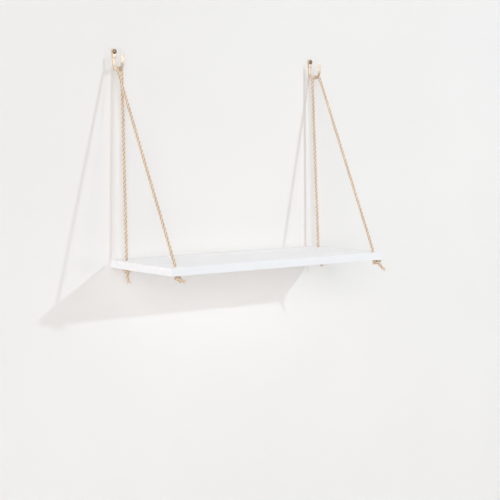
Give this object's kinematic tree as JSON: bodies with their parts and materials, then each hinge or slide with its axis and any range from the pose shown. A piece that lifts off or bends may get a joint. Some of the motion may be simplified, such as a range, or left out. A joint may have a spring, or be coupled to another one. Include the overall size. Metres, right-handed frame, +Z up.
{
  "type": "hanging rope shelf",
  "caption": "Wall shelf: a flat white board slung level on twisted ropes that lie over brass strap hooks and are knotted beneath the board.",
  "frame": {"origin": "middle of the board's back edge, where it touches the wall plane Y = 0", "axes": "+X right along the wall, +Y into the wall, +Z up"},
  "size_m": [0.5067, 0.2523, 0.4409],
  "materials": {
    "white_paint": "satin white paint on wood",
    "rope": "natural fibre, three twisted strands",
    "brass": "satin brass strip",
    "bronze": "darkened brass",
    "plug_plastic": "moulded grey nylon"
  },
  "bodies": {
    "wall_hooks": {"left_hook": "brass", "left_hook_screw": "bronze", "left_wall_plug": "plug_plastic", "right_hook": "brass", "right_hook_screw": "bronze", "right_wall_plug": "plug_plastic"},
    "left_rope_top": {"left_rope_over_hook": "rope"},
    "right_rope_top": {"right_rope_over_hook": "rope"},
    "left_ropes": {"left_back_rope": "rope", "left_front_rope": "rope"},
    "right_ropes": {"right_back_rope": "rope", "right_front_rope": "rope"},
    "slung_board": {"board": "white_paint", "left_back_rope_in_hole": "rope", "left_back_knot": "rope", "left_back_tail": "rope", "left_front_rope_in_hole": "rope", "left_front_knot": "rope", "left_front_tail": "rope"},
    "right_rope_ends": {"right_back_rope_in_hole": "rope", "right_back_knot": "rope", "right_back_tail": "rope", "right_front_rope_in_hole": "rope", "right_front_knot": "rope", "right_front_tail": "rope"}
  },
  "joints": [
    {"name": "swing_out", "type": "hinge", "parent": "wall_hooks", "child": "left_rope_top", "pos_m": [-0.235, -0.0205, 0.3675], "axis": [-1, 0, 0], "range_deg": [0, 35]},
    {"name": "swing_out_right", "type": "hinge", "parent": "wall_hooks", "child": "right_rope_top", "pos_m": [0.235, -0.0205, 0.3675], "axis": [-1, 0, 0], "range_deg": [0, 35]},
    {"name": "sway", "type": "hinge", "parent": "left_rope_top", "child": "left_ropes", "pos_m": [-0.235, -0.0205, 0.3639], "axis": [0, -1, 0], "range_deg": [-10, 10]},
    {"name": "sway_right", "type": "hinge", "parent": "right_rope_top", "child": "right_ropes", "pos_m": [0.235, -0.0205, 0.3639], "axis": [0, -1, 0], "range_deg": [-10, 10]},
    {"name": "board_level", "type": "hinge", "parent": "left_ropes", "child": "slung_board", "pos_m": [-0.2325, -0.116, 0.0108], "axis": [0, -1, 0], "range_deg": [-10, 10]},
    {"name": "board_level_right", "type": "hinge", "parent": "right_ropes", "child": "right_rope_ends", "pos_m": [0.2325, -0.116, 0.0108], "axis": [0, -1, 0], "range_deg": [-10, 10]}
  ],
  "couplings": [
    {"joint": "swing_out_right", "follows": "swing_out", "ratio": 1},
    {"joint": "sway_right", "follows": "sway", "ratio": 1},
    {"joint": "board_level", "follows": "sway", "ratio": -1},
    {"joint": "board_level_right", "follows": "sway", "ratio": -1}
  ]
}
